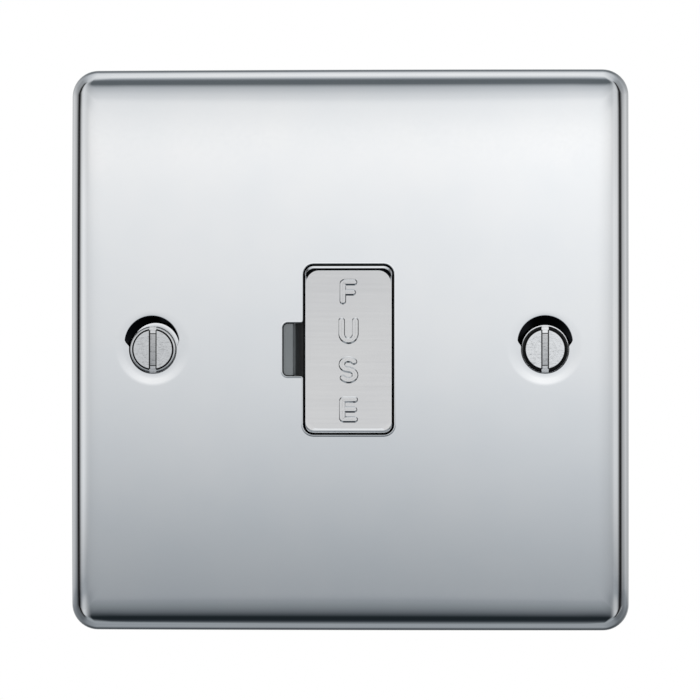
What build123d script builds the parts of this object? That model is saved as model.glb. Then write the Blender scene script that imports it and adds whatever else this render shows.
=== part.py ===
from build123d import *
from math import radians, sin, sqrt, tan
import os

# Fused spur unit: a raised metal plate with a fuse carrier that pulls out to the front.
# Millimetres. x runs to the right, y into the wall and z up. The wall plane is y = 0,
# and the origin lies on it midway between the two fixing screws.

# Front plate, pressed from sheet
plate_width = 86.0
plate_height = 86.5
plate_rise = 5.5
plate_sheet = 1.0
plate_crown = 0.9
plate_round = 4.0
hollow_bevel_share = 0.6

# Dished seats for the fixing screws, long axis upright
fixing_centres = 60.3
seat_floor_depth = 1.25
seat_floor_half_width = 3.85
seat_slack = 0.75
seat_draft = 30.0
fixing_hole_width = 4.2

# Fixing screws
fixing_head_radius = 3.7
fixing_head_height = 1.5
fixing_head_bevel = 0.7
fixing_slot_width = 1.08
fixing_slot_depth = 0.8
fixing_neck_radius = 1.52
fixing_neck_past_plate = 0.6
fixing_shank_radius = 1.75
fixing_length = 30.0

# Cartridge fuse
fuse_radius = 3.175
fuse_length = 25.4
fuse_axis_y = 1.5
fuse_cap_length = 6.0
fuse_cap_wall = 0.25
fuse_cap_clearance = 0.02

# Opening for the carrier, with the pry notch on its left
aperture_width = 14.0
aperture_end_room = 0.4
aperture_corner = 1.6
notch_reach = 3.15
notch_height = 8.2
notch_corner = 0.8
notch_shoulder = 0.6

# Carrier cap and body
cap_gap = 0.3
cap_thickness = 1.8
cap_corner = 1.4
cap_edge_bevel = 0.5
cap_wall = 1.0
cap_socket_depth = 0.8
spigot_gap = 0.1
slab_inset = 0.25
slab_thickness = 1.2
pry_recess_depth = 0.9
pry_recess_height = 6.4
rail_gap = 0.3
rail_thickness = 1.5
rail_height = 9.0
rail_end_room = 0.3
lug_reach = 0.7
lug_height = 3.6
lug_length = 1.4
lug_groove_gap = 0.3
carrier_travel = 13.0
travel_spare = 0.1
cradle_height = 11.0
cradle_gap = 0.1
cradle_wrap = 15.0

# Base moulding
collar_wall = 1.4
flange_width = 48.0
flange_ear = 9.0
flange_front = -3.0
flange_thickness = 2.0
flange_corner = 3.0
box_height = 52.0
box_back = 11.5
box_wall = 1.6
box_corner = 2.5
chamber_floor = 2.0
rib_thickness = 1.4
ledge_gap = 0.15
ledge_drop = 0.3
cove_radius = 1.6
cove_rise = 0.2
wire_entry_half_width = 2.6

# Plate studs and their nuts
stud_radius = 1.5
stud_past_box = 5.0
stud_hole_gap = 0.15
stud_pad = 6.4
stud_past_nut = 0.6
nut_across_flats = 5.5
nut_thickness = 2.4
nut_bore_gap = 0.05

# Fuse clips
clip_sheet = 0.6
clip_gap = 0.1
clip_width = 4.5
clip_end_inset = 0.7
clip_base_gap = 0.5
clip_mouth_ahead = 2.6
clip_flare_length = 1.2
clip_flare_out = 0.5
clip_slot_gap = 0.2
clip_tail_width = 3.5
clip_tab_length = 10.0

# Terminals
terminal_x = 16.5
terminal_width = 8.0
terminal_length = 10.4
bore_radius = 2.3
bore_y = 6.0
neutral_web_width = 5.0
neutral_web_thickness = 1.6
earth_pitch = 7.0
earth_side_gap = 0.2
strap_thickness = 0.6
strap_width = 6.0
strap_foot = 3.6
strap_slot_gap = 0.2

# Headless terminal screws, run back until they clear the wire bores
screw_radius = 1.95
screw_length = 6.5
screw_hole_gap = 0.15
screw_bore_clear = 0.2
screw_slot_width = 0.9
screw_slot_depth = 0.8

# Rear cover and its screws
cover_edge_bevel = 0.7
bay_gap = 1.2
bay_past_screw = 0.3
post_width = 6.0
post_inset = 0.4
cover_screw_x = 11.0
cover_screw_radius = 1.3
cover_screw_gap = 0.05
cover_screw_hole_gap = 0.2
cover_screw_length = 9.0
cover_head_radius = 2.5
cover_head_height = 1.5
boss_width = 5.2

# Sizes that follow from those above
aperture_height = fuse_length + 2 * aperture_end_room
cap_width = aperture_width - 2 * cap_gap
cap_height = aperture_height - 2 * cap_gap
cap_back = -plate_rise + cap_thickness
slab_back = cap_back + slab_thickness
rail_outer = aperture_width / 2 - rail_gap
rail_inner = rail_outer - rail_thickness
rail_back = box_back - rail_end_room
pocket_half_width = aperture_width / 2
pocket_half_height = aperture_height / 2
collar_half_width = pocket_half_width + collar_wall
collar_half_height = pocket_half_height + collar_wall
flange_height = box_height + 2 * flange_ear
flange_back = flange_front + flange_thickness
box_half_width = flange_width / 2
chamber_half_width = box_half_width - box_wall
chamber_half_height = box_height / 2 - box_wall
barrel_radius = fuse_radius - fuse_cap_wall - fuse_cap_clearance
clip_inner = fuse_radius + clip_gap
clip_base_front = fuse_axis_y + fuse_radius + clip_base_gap
clip_base_back = clip_base_front + clip_sheet
clip_outer_z = fuse_length / 2 - clip_end_inset
clip_inner_z = clip_outer_z - clip_width
clip_middle_z = (clip_outer_z + clip_inner_z) / 2
terminal_inner = terminal_x - terminal_width / 2
terminal_outer = terminal_x + terminal_width / 2
terminal_low = chamber_half_height - terminal_length
terminal_z = chamber_half_height - terminal_length / 2
earth_half_width = pocket_half_width - earth_side_gap
strap_back_z = collar_half_height + strap_slot_gap
earth_low = strap_back_z + strap_thickness
earth_z = (earth_low + chamber_half_height) / 2
screw_tip = bore_y + bore_radius + screw_bore_clear
screw_back = screw_tip + screw_length
cover_back = screw_back + bay_past_screw
bay_half_width = screw_radius + bay_gap
fixing_x = fixing_centres / 2
hollow_front = -plate_rise + plate_sheet
rim_front = -plate_rise + plate_crown
crown_foot = min(plate_width, plate_height) / 2 - plate_round
crown_radius = (crown_foot**2 + plate_crown**2) / (2 * plate_crown)
stud_z = box_height / 2 + stud_past_box
past = 1.0

TERMINALS = {
    "supply_live": (terminal_x, terminal_z),
    "load_live": (terminal_x, -terminal_z),
    "supply_neutral": (-terminal_x, terminal_z),
    "load_neutral": (-terminal_x, -terminal_z),
}
EARTHS = {"left": (-earth_pitch / 2, earth_z), "right": (earth_pitch / 2, earth_z)}
COVER_SCREWS = [(cover_screw_x, 0.0), (-cover_screw_x, 0.0)]
STUDS = [(0.0, stud_z), (0.0, -stud_z)]


def depth_plane(y):
    """A plane that faces the room at depth y, with its own axes along x and z."""
    return Plane.XZ.offset(-y)


def prism(outline, front, back):
    """An outline drawn in x and z, carried from the depth front to the depth back."""
    return extrude(depth_plane(back) * outline, amount=back - front)


def rod(x, z, radius, front, back):
    return prism(Pos(x, z) * Circle(radius), front, back)


def bar(x0, x1, front, back, z0, z1):
    outline = Pos((x0 + x1) / 2, (z0 + z1) / 2) * Rectangle(x1 - x0, z1 - z0)
    return prism(outline, front, back)


def square_post(x, z, width, front, back):
    return prism(Pos(x, z) * Rectangle(width, width), front, back)


def upright_rod(x, y, radius, z0, z1):
    """A round bar along z."""
    return extrude(Plane.XY.offset(z0) * Pos(x, y) * Circle(radius), amount=z1 - z0)


def slot_outline(half_width, slack):
    """An upright slot with round ends, its lower end round the origin and its upper end slack higher."""
    return Pos(0, slack / 2) * SlotOverall(2 * half_width + slack, 2 * half_width, rotation=90)


# Front plate


def crown(inset):
    """The shallow dome that the face rises to inside its rim."""
    ball = Pos(0, crown_radius - plate_rise + inset, 0) * Sphere(crown_radius)
    return ball & prism(Circle(crown_foot), -plate_rise - past, rim_front + inset)


def pressed_form():
    """The solid under the plate's face, its corners and rim rolled to one radius."""
    block = prism(Rectangle(plate_width, plate_height), rim_front, 0)
    back = block.faces().sort_by(Axis.Y)[-1]
    return fillet(block.edges() - back.edges(), plate_round) + crown(0)


def plate_hollow():
    """The space under the sheet, which everything behind the plate seats against."""
    wall = 2 * plate_sheet
    corner = plate_round - plate_sheet
    outline = RectangleRounded(plate_width - wall, plate_height - wall, corner)
    block = prism(outline, rim_front + plate_sheet, 0)
    rim = block.faces().sort_by(Axis.Y)[0].outer_wire().edges()
    return chamfer(rim, hollow_bevel_share * corner) + crown(plate_sheet)


def face_depth(away):
    """Depth of the plate's outer face at a distance away from its middle."""
    return crown_radius - plate_rise - sqrt(crown_radius**2 - away**2)


def opening_outline():
    """The carrier's opening with the pry notch, their meeting corners eased."""
    window = RectangleRounded(aperture_width, aperture_height, aperture_corner)
    overlap = notch_corner + notch_shoulder
    notch = RectangleRounded(notch_reach + overlap, notch_height, notch_corner)
    outline = window + Pos(-aperture_width / 2 + (overlap - notch_reach) / 2, 0) * notch
    corners = [
        v
        for v in outline.vertices()
        if abs(v.X + aperture_width / 2) < 0.01 and abs(abs(v.Y) - notch_height / 2) < 0.01
    ]
    return fillet(corners, notch_shoulder)


def seat_floor():
    """Depth of the flat floor that a fixing screw's head seats on."""
    return face_depth(fixing_x) + seat_floor_depth


def seat_plug(inset, front):
    """The dish pressed for one screw, from its floor out to the depth front, grown by inset."""
    back = seat_floor() + inset
    half_floor = seat_floor_half_width + inset
    ends = [(back, half_floor), (front, half_floor + (back - front) * tan(radians(seat_draft)))]
    return loft([depth_plane(y) * slot_outline(half, seat_slack) for y, half in ends], ruled=True)


def front_plate():
    sheet = pressed_form() - plate_hollow()
    floor = seat_floor()
    within_sheet = face_depth(fixing_x) + plate_sheet / 2
    hole = prism(slot_outline(fixing_hole_width / 2, seat_slack), floor - past, floor + plate_sheet + past)
    for side in (-1, 1):
        middle = Pos(side * fixing_x, 0, 0)
        sheet += middle * seat_plug(plate_sheet, within_sheet)
        sheet -= middle * seat_plug(0, -plate_rise)
        sheet -= middle * hole
    return sheet - prism(opening_outline(), -plate_rise - past, 0)


def plate_studs():
    hollow = plate_hollow()
    end = flange_back + nut_thickness + stud_past_nut
    studs = []
    for x, z in STUDS:
        inside = rod(x, z, stud_radius, -plate_rise - past, 0) & hollow
        studs.append(inside + rod(x, z, stud_radius, 0, end))
    return Compound(children=studs)


def stud_nuts():
    hexagon = RegularPolygon(nut_across_flats / 2, 6, major_radius=False)
    ring = hexagon - Circle(stud_radius + nut_bore_gap)
    nuts = [prism(Pos(x, z) * ring, flange_back, flange_back + nut_thickness) for x, z in STUDS]
    return Compound(children=nuts)


# Fixing screws


def fixing_screw(side):
    """Slotted machine screw, its neck slimmer than its thread so that the plate holds it loosely."""
    x = side * fixing_x
    seat = seat_floor()
    top = seat - fixing_head_height
    tip = seat + fixing_length
    head = rod(x, 0, fixing_head_radius, top, seat)
    rim = head.edges().filter_by(GeomType.CIRCLE).sort_by(Axis.Y)[0]
    head = chamfer(rim, fixing_head_bevel)
    head -= bar(
        x - fixing_slot_width / 2,
        x + fixing_slot_width / 2,
        top - past,
        top + fixing_slot_depth,
        -fixing_head_radius - past,
        fixing_head_radius + past,
    )
    neck_end = seat + plate_sheet + fixing_neck_past_plate
    neck = rod(x, 0, fixing_neck_radius, seat, neck_end)
    return head + neck + rod(x, 0, fixing_shank_radius, neck_end, tip)


# Fuse and its carrier


def fuse_barrel():
    half = fuse_length / 2 - fuse_cap_wall - fuse_cap_clearance
    return upright_rod(0, fuse_axis_y, barrel_radius, -half, half)


def fuse_cap(side):
    """A drawn metal cup over one end of the fuse."""
    outer_end = fuse_length / 2
    cup = upright_rod(0, fuse_axis_y, fuse_radius, outer_end - fuse_cap_length, outer_end)
    bore = fuse_radius - fuse_cap_wall
    cup -= upright_rod(0, fuse_axis_y, bore, 0, outer_end - fuse_cap_wall)
    return cup if side > 0 else mirror(cup, Plane.XY)


def cap_socket(gap):
    """Outline of the recess in the back of the cap, or of the spigot that fills it."""
    return Rectangle(cap_width - 2 * (cap_wall + gap), cap_height - 2 * (cap_wall + gap))


def carrier_cap():
    cap = prism(RectangleRounded(cap_width, cap_height, cap_corner), -plate_rise, cap_back)
    rim = cap.faces().sort_by(Axis.Y)[0].outer_wire().edges()
    cap = chamfer(rim, cap_edge_bevel)
    return cap - prism(cap_socket(0), cap_back - cap_socket_depth, cap_back + past)


def carrier_body():
    """Slab under the cap, two guide rails with stop lugs, and a cradle that wraps the fuse."""
    slab = RectangleRounded(cap_width - 2 * slab_inset, cap_height - 2 * slab_inset, cap_corner)
    body = prism(slab, cap_back, slab_back)
    body += prism(cap_socket(spigot_gap), cap_back - cap_socket_depth + spigot_gap, cap_back)
    lip = fuse_axis_y + (barrel_radius + cradle_gap) * sin(radians(cradle_wrap))
    body += bar(-rail_outer, rail_outer, slab_back, lip, -cradle_height / 2, cradle_height / 2)
    for side in (-1, 1):
        inner, outer = sorted((side * rail_inner, side * rail_outer))
        body += bar(inner, outer, slab_back, rail_back, -rail_height / 2, rail_height / 2)
        root, reach = sorted((side * rail_inner, side * (rail_outer + lug_reach)))
        body += bar(root, reach, rail_back - lug_length, rail_back, -lug_height / 2, lug_height / 2)
    body -= upright_rod(0, fuse_axis_y, barrel_radius + cradle_gap, -cradle_height, cradle_height)
    edge = -cap_width / 2 + slab_inset
    recess = pry_recess_height / 2
    body -= bar(edge - past, edge + pry_recess_depth, cap_back, slab_back, -recess, recess)
    return body


# Base moulding


def pry_ledge():
    """Ledge that fills the notch, with a hollow that leads a blade under the cap's edge."""
    left = -aperture_width / 2 - notch_reach + ledge_gap
    half = notch_height / 2 - ledge_gap
    top = face_depth(left) + ledge_drop
    outline = RectangleRounded(2 * (-pocket_half_width - left), 2 * half, notch_corner - ledge_gap)
    ledge = prism(Pos(-pocket_half_width, 0) * outline, top, flange_back)
    ledge -= bar(-pocket_half_width, past, top - past, flange_back + past, -2 * half, 2 * half)
    return ledge


def cove():
    top = face_depth(pocket_half_width) + ledge_drop
    half = notch_height / 2 - ledge_gap
    return upright_rod(-pocket_half_width, top - cove_rise, cove_radius, -half, half)


def chamber(x0, x1, z0, z1):
    """An open-backed space for terminals."""
    return bar(x0, x1, chamber_floor, box_back + past, z0, z1)


def wire_entry(x, side):
    """A cut in the top or bottom wall, open at the back, that leads a wire to its terminal."""
    half = wire_entry_half_width
    z0, z1 = chamber_half_height - past, chamber_half_height + box_wall + past
    cut = bar(x - half, x + half, bore_y - half, box_back + past, z0, z1)
    return cut if side > 0 else mirror(cut, Plane.XY)


def lug_grooves():
    """Grooves in the pocket's side walls that the carrier's lugs run in, shut at the front."""
    half = lug_height / 2 + lug_groove_gap
    reach = rail_outer + lug_reach + lug_groove_gap
    front = rail_back - lug_length - carrier_travel - travel_spare
    return bar(-reach, reach, front, box_back + past, -half, half)


def clip_slots():
    """Cuts in the pocket's right wall that let the clips' tails through, open at the back."""
    half = clip_tail_width / 2 + clip_slot_gap
    front = clip_base_front - clip_slot_gap
    cuts = [
        bar(0, collar_half_width + past, front, box_back + past, z - half, z + half)
        for z in (clip_middle_z, -clip_middle_z)
    ]
    return cuts[0] + cuts[1]


def seating_ribs():
    """Ribs that hold the terminal blocks sideways in the two long chambers."""
    ribs = []
    for side in (-1, 1):
        for row in (-1, 1):
            z = row * (chamber_half_height - rib_thickness)
            low, high = z - rib_thickness / 2, z + rib_thickness / 2
            inner = sorted((side * collar_half_width, side * terminal_inner))
            outer = sorted((side * terminal_outer, side * chamber_half_width))
            ribs.append(bar(*inner, chamber_floor, box_back, low, high))
            ribs.append(bar(*outer, chamber_floor, box_back, low, high))
    return ribs


def base_moulding():
    hollow = plate_hollow()
    flange = RectangleRounded(flange_width, flange_height, flange_corner)
    base = prism(flange, flange_front, flange_back)
    base += prism(RectangleRounded(flange_width, box_height, box_corner), flange_front, box_back)
    collar = Rectangle(2 * collar_half_width, 2 * collar_half_height)
    base += prism(collar, -plate_rise - past, flange_front) & hollow
    pad_front = face_depth(stud_z + stud_pad / 2) + plate_sheet
    for x, z in STUDS:
        base += square_post(x, z, stud_pad, pad_front, flange_front)
    base += pry_ledge()
    inner, outer, top = collar_half_width, chamber_half_width, chamber_half_height
    base -= chamber(inner, outer, -top, top)
    base -= chamber(-outer, -inner, -top, top)
    base -= chamber(-pocket_half_width, pocket_half_width, collar_half_height, top)
    base -= chamber(-pocket_half_width, pocket_half_width, -top, -collar_half_height)
    for rib in seating_ribs():
        base += rib
    for x, z in COVER_SCREWS:
        base += square_post(x, z, boss_width, chamber_floor, box_back)
    base += bar(inner, outer, chamber_floor, box_back, -rib_thickness / 2, rib_thickness / 2)
    window = RectangleRounded(aperture_width, aperture_height, aperture_corner)
    base -= prism(window, -plate_rise - past, box_back + past)
    base -= lug_grooves()
    base -= clip_slots()
    base -= cove()
    for x, z in TERMINALS.values():
        base -= wire_entry(x, 1 if z > 0 else -1)
    for x, z in EARTHS.values():
        base -= wire_entry(x, 1)
    for x, z in COVER_SCREWS:
        base -= rod(x, z, cover_screw_radius + cover_screw_gap, box_back - cover_screw_length, box_back)
    for x, z in STUDS:
        base -= rod(x, z, stud_radius + stud_hole_gap, -plate_rise - past, flange_back + past)
    slot_half = strap_width / 2 + strap_slot_gap
    slot_top = earth_low + strap_slot_gap
    base -= bar(-slot_half, slot_half, hollow_front, chamber_floor + past, collar_half_height, slot_top)
    return base


# Fuse clips


def live_clip(side):
    """Sprung fork round one end of the fuse, with a tail folded against its terminal block."""
    outer = clip_inner + clip_sheet
    mouth = fuse_axis_y - clip_mouth_ahead
    tip = mouth - clip_flare_length
    fork = make_face(
        Polyline(
            (-outer, clip_base_back),
            (-outer, mouth),
            (-outer - clip_flare_out, tip),
            (-clip_inner - clip_flare_out, tip),
            (-clip_inner, mouth),
            (-clip_inner, clip_base_front),
            (clip_inner, clip_base_front),
            (clip_inner, mouth),
            (clip_inner + clip_flare_out, tip),
            (outer + clip_flare_out, tip),
            (outer, mouth),
            (outer, clip_base_back),
            close=True,
        )
    )
    clip = extrude(Plane.XY.offset(clip_inner_z) * fork, amount=clip_width)
    bends = [
        e
        for e in clip.edges().filter_by(Axis.Z)
        if abs(e.center().Y - clip_base_back) < 0.01 and abs(abs(e.center().X) - outer) < 0.01
    ]
    clip = fillet(bends, clip_sheet)
    half = clip_tail_width / 2
    tab_x = terminal_inner - clip_sheet
    tail_low, tail_high = clip_middle_z - half, clip_middle_z + half
    clip += bar(0, terminal_inner, clip_base_front, clip_base_back, tail_low, tail_high)
    clip += bar(tab_x, terminal_inner, clip_base_front, box_back, tail_low, tail_low + clip_tab_length)
    return clip if side > 0 else mirror(clip, Plane.XY)


# Terminals


def terminal_block(x0, x1, low, screws):
    """A brass block along the top wall, bored upright for wires and from behind for screws."""
    block = bar(x0, x1, chamber_floor, box_back, low, chamber_half_height)
    for x, z in screws:
        block -= upright_rod(x, bore_y, bore_radius, low - past, chamber_half_height + past)
        block -= rod(x, z, screw_radius + screw_hole_gap, bore_y, box_back + past)
    return block


def live_terminal(side):
    screw = [(terminal_x, terminal_z)]
    block = terminal_block(terminal_inner, terminal_outer, terminal_low, screw)
    return block if side > 0 else mirror(block, Plane.XY)


def neutral_bar():
    """Two terminal blocks and the web that joins them, cut from one bar."""
    screw = [(-terminal_x, terminal_z)]
    block = terminal_block(-terminal_outer, -terminal_inner, terminal_low, screw)
    web = bar(
        -terminal_outer,
        -terminal_outer + neutral_web_width,
        chamber_floor,
        chamber_floor + neutral_web_thickness,
        -terminal_low - past,
        terminal_low + past,
    )
    return block + mirror(block, Plane.XY) + web


def earth_bar():
    return terminal_block(-earth_half_width, earth_half_width, earth_low, EARTHS.values())


def earth_strap():
    """Strip from the earth bar forward to the back of the plate, with a sprung foot."""
    half = strap_width / 2
    hollow = plate_hollow()
    strip = bar(-half, half, hollow_front, box_back, strap_back_z, earth_low)
    foot_back = hollow_front + 2 * strap_thickness
    foot = bar(-half, half, -plate_rise, foot_back, strap_back_z, earth_low + strap_foot)
    lowered = foot - Pos(0, strap_thickness, 0) * hollow
    return (strip & (hollow + bar(-half, half, 0, box_back, strap_back_z, earth_low))) + (lowered & hollow)


def terminal_screw(x, z):
    """Slotted headless screw, run back to its open position."""
    screw = rod(x, z, screw_radius, screw_tip, screw_back)
    half = screw_slot_width / 2
    reach = screw_radius + past
    slot_floor = screw_back - screw_slot_depth
    return screw - bar(x - reach, x + reach, slot_floor, screw_back + past, z - half, z + half)


# Rear cover


def screw_bay(x, z):
    """An open-ended bay in the cover over one terminal screw, narrower than the block under it."""
    outer = box_height / 2 + past
    low, high = (z - bay_half_width, outer) if z > 0 else (-outer, z + bay_half_width)
    return bar(x - bay_half_width, x + bay_half_width, box_back - past, cover_back + past, low, high)


def rear_cover():
    """Block over the chambers, with a bay at each terminal screw and a post behind each clip."""
    outline = RectangleRounded(flange_width, box_height, box_corner)
    cover = prism(outline, box_back, cover_back)
    rim = cover.faces().sort_by(Axis.Y)[-1].outer_wire().edges()
    cover = chamfer(rim, cover_edge_bevel)
    for x, z in list(TERMINALS.values()) + list(EARTHS.values()):
        cover -= screw_bay(x, z)
    post_half = clip_width / 2 - post_inset
    for z in (clip_middle_z, -clip_middle_z):
        low, high = z - post_half, z + post_half
        cover += bar(-post_width / 2, post_width / 2, clip_base_back, box_back, low, high)
    for x, z in COVER_SCREWS:
        cover -= rod(x, z, cover_screw_radius + cover_screw_hole_gap, box_back - past, cover_back + past)
    return cover


def cover_screws():
    screws = []
    for x, z in COVER_SCREWS:
        head = rod(x, z, cover_head_radius, cover_back, cover_back + cover_head_height)
        screws.append(head + rod(x, z, cover_screw_radius, box_back - cover_screw_length, cover_back))
    return Compound(children=screws)


def pieces():
    """Each piece of the unit under the name of its node."""
    made = {
        "front_plate": front_plate(),
        "plate_studs": plate_studs(),
        "stud_nuts": stud_nuts(),
        "base_moulding": base_moulding(),
        "rear_cover": rear_cover(),
        "cover_screws": cover_screws(),
        "carrier_cap": carrier_cap(),
        "carrier_body": carrier_body(),
        "fuse_barrel": fuse_barrel(),
        "fuse_cap_upper": fuse_cap(1),
        "fuse_cap_lower": fuse_cap(-1),
        "supply_live_clip": live_clip(1),
        "load_live_clip": live_clip(-1),
        "supply_live_terminal": live_terminal(1),
        "load_live_terminal": live_terminal(-1),
        "neutral_bar": neutral_bar(),
        "earth_bar": earth_bar(),
        "earth_strap": earth_strap(),
        "fixing_screw_left": fixing_screw(-1),
        "fixing_screw_right": fixing_screw(1),
    }
    for name, place in TERMINALS.items():
        made[name + "_screw"] = terminal_screw(*place)
    for name, place in EARTHS.items():
        made["earth_screw_" + name] = terminal_screw(*place)
    return made


os.makedirs("parts", exist_ok=True)
for node, shape in pieces().items():
    export_step(shape, f"parts/{node}.step")
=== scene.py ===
# %% [markdown]
# # A fused spur unit in polished chrome
# This lesson dresses the CAD model of a single wall plate so that it looks like the real object.
# The pieces that the eye goes to, the plate, the cap and the two screws, are modelled again with
# soft, smooth shapes, because polished metal shows every flat facet. The pieces behind them keep
# their CAD shapes and get better materials.

# %% Load the frame
import math
import bpy
import bmesh
import numpy as np
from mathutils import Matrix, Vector
from mathutils.geometry import delaunay_2d_cdt


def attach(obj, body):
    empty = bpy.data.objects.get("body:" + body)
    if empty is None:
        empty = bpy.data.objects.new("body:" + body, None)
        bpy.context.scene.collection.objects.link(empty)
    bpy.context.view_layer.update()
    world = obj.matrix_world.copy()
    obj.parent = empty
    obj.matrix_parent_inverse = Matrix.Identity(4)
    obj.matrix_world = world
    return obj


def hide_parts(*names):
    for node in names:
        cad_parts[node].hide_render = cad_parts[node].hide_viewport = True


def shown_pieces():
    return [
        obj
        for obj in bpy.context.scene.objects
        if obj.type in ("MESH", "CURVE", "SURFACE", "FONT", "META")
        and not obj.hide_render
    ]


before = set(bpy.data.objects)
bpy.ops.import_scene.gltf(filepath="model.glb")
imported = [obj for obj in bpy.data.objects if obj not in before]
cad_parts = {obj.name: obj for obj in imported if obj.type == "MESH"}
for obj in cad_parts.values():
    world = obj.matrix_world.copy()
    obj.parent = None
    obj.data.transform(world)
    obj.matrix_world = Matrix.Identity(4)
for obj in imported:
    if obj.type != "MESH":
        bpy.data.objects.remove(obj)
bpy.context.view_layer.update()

MM = 0.001
print("CAD pieces:", len(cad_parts))

# %% [markdown]
# ## Small tools for materials
# A hex code such as #d8dadc is how a screen stores a colour. Shaders work in linear light, so one
# function turns the code into linear values. A second function adds any node, with its settings,
# values and links, so that a node takes one line here instead of a click and several drags.

# %% Colours and nodes
def linear(code):
    """A hex colour as linear red, green, blue and alpha."""
    parts = [int(code[i:i + 2], 16) / 255 for i in (1, 3, 5)]
    light = [p / 12.92 if p <= 0.04045 else ((p + 0.055) / 1.055) ** 2.4 for p in parts]
    return light + [1.0]


def add(tree, kind, inputs=None, stops=(), **settings):
    """Adds a node. An input is a value, a socket, or a node whose first output is linked.
    Stops, each a place and a colour, fill a colour ramp."""
    node = tree.nodes.new("ShaderNode" + kind)
    for key, value in settings.items():
        setattr(node, key, value)
    for key, value in (inputs or {}).items():
        source = value.outputs[0] if isinstance(value, bpy.types.Node) else value
        if isinstance(source, bpy.types.NodeSocket):
            tree.links.new(source, node.inputs[key])
        else:
            node.inputs[key].default_value = source
    for _ in stops[2:]:
        node.color_ramp.elements.new(0.5)
    for k, (place, colour) in enumerate(stops):
        element = node.color_ramp.elements[k]
        element.position, element.color = place, colour
    return node


def blank(name):
    """A material with an empty node tree and its output node."""
    material = bpy.data.materials.new(name)
    material.use_nodes = True
    tree = material.node_tree
    tree.nodes.clear()
    return material, tree, add(tree, "OutputMaterial")


print("chrome's tone in linear light:", [round(v, 3) for v in linear("#eceef0")])

# %% [markdown]
# ## Materials
# Each material is named for the real stuff. None is one flat colour: a slow noise changes the tone
# a little, and a finer one changes the roughness and gives the grain that a finger would feel. Noise
# works in metres here, so a scale of 1 over the grain's size gives grains of that size. One recipe
# serves them all, because metals and mouldings differ only in its numbers.

# %% One recipe for all of them
TONE_SIZE = 12


def surface(name, low, high, metal, rough, spread, grain, depth, stretch=(1, 1, 1)):
    """A material whose tone runs between two colours and whose roughness wanders by the spread.
    Grain and bump depth are in mm."""
    material, tree, out = blank(name)
    place = add(tree, "TexCoord").outputs["Object"]
    drawn = add(tree, "Mapping", {"Vector": place, "Scale": stretch})
    slow = add(tree, "TexNoise", {"Vector": place, "Scale": 1 / (TONE_SIZE * MM), "Detail": 3.0})
    fine = add(tree, "TexNoise", {"Vector": drawn, "Scale": 1 / (grain * MM), "Detail": 4.0})
    tone = add(tree, "ValToRGB", {"Fac": slow}, stops=[(0.3, linear(low)), (0.7, linear(high))])
    gloss = add(tree, "MapRange", {
        "Value": fine, "From Min": 0.25, "From Max": 0.75,
        "To Min": max(0.02, rough - spread), "To Max": rough + spread})
    bump = add(tree, "Bump", {"Height": fine, "Strength": 1.0, "Distance": depth * MM})
    shader = add(tree, "BsdfPrincipled", {
        "Base Color": tone, "Metallic": metal, "Roughness": gloss, "Normal": bump})
    tree.links.new(shader.outputs["BSDF"], out.inputs["Surface"])
    return material


# %% [markdown]
# The metals come first. Plated chrome looks different on each piece by how it was worked: pressed
# and polished, drawn with fine lines, or turned on a lathe. A dark chrome is painted shade on steep
# walls. The lines on the cap are really about 0.05 mm apart. They are drawn coarser here so that they
# show.

# %% The metals
# Polished chrome: a cool mirror that is very slightly soft, with faint wiping marks.
chrome = surface("polished_chrome", "#eceef0", "#f0f1f2", metal=1.0, rough=0.06, spread=0.02,
                 grain=0.5, depth=0.00002)
# Satin chrome of the cap: fine lines drawn across it soften what it mirrors.
satin = surface("satin_chrome", "#e3e2e2", "#e8e7e6", metal=1.0, rough=0.15, spread=0.05,
                grain=0.3, depth=0.0002, stretch=(0.02, 1, 1))
# Turned chrome of the screw heads: softer, with an uneven grain that scatters the light.
turned = surface("turned_chrome", "#eff0f1", "#f4f5f6", metal=1.0, rough=0.16, spread=0.08,
                 grain=0.3, depth=0.004, stretch=(0.35, 1, 1))
# Dark chrome, painted shade: the steep dish walls above the screws and the slope under the cap's bead.
shade_chrome = surface("painted_shade_chrome", "#17181a", "#1f2022", metal=1.0, rough=0.12, spread=0.05,
                    grain=0.5, depth=0.0002)
# Zinc-plated steel: a bluish grey that is a little cloudy.
zinc = surface("zinc_steel", "#a9adb3", "#c6c9cc", metal=1.0, rough=0.32, spread=0.05,
               grain=0.5, depth=0.001)
# Brass of the terminals: warm yellow with fine milling lines.
brass = surface("brass", "#b8924e", "#d0aa62", metal=1.0, rough=0.28, spread=0.05,
                grain=0.4, depth=0.001, stretch=(1, 0.2, 1))
# Spring bronze of the clips: browner and duller than the brass. Its tone is also set darker, as
# painted shade for the deep pocket that the clips stand in.
bronze = surface("spring_bronze", "#6b4c33", "#7a5a40", metal=1.0, rough=0.55, spread=0.05,
                 grain=0.5, depth=0.0006)
# Nickel of the fuse's end caps: a warm, pale grey.
nickel = surface("nickel", "#c3bfb4", "#d6d2c8", metal=1.0, rough=0.2, spread=0.05,
                 grain=0.6, depth=0.0006)
print("metals:", len(bpy.data.materials))

# %% [markdown]
# The mouldings are hard plastics pressed in a steel tool, and they take its texture: smooth where it
# was polished, finely pitted where it was spark-eroded. The fuse's barrel is fired ceramic.

# %% The mouldings and the ceramic
# Black urea moulding: its grey colour is a painted sheen for the light on the ledge. The shades below make
# the rest black.
black = surface("black_moulding", "#7a7f82", "#83888b", metal=0.0, rough=0.35, spread=0.05,
                grain=0.6, depth=0.0008)
# Dark grey moulding of the rear cover: a fine spark-eroded texture.
grey = surface("grey_moulding", "#3b3c3e", "#47484a", metal=0.0, rough=0.5, spread=0.05,
               grain=0.35, depth=0.006)
# Ceramic of the fuse's barrel: off-white and faintly speckled.
ceramic = surface("fuse_ceramic", "#ddd6c6", "#ece7db", metal=0.0, rough=0.42, spread=0.05,
                  grain=0.25, depth=0.002)
print("materials:", len(bpy.data.materials))
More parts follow.
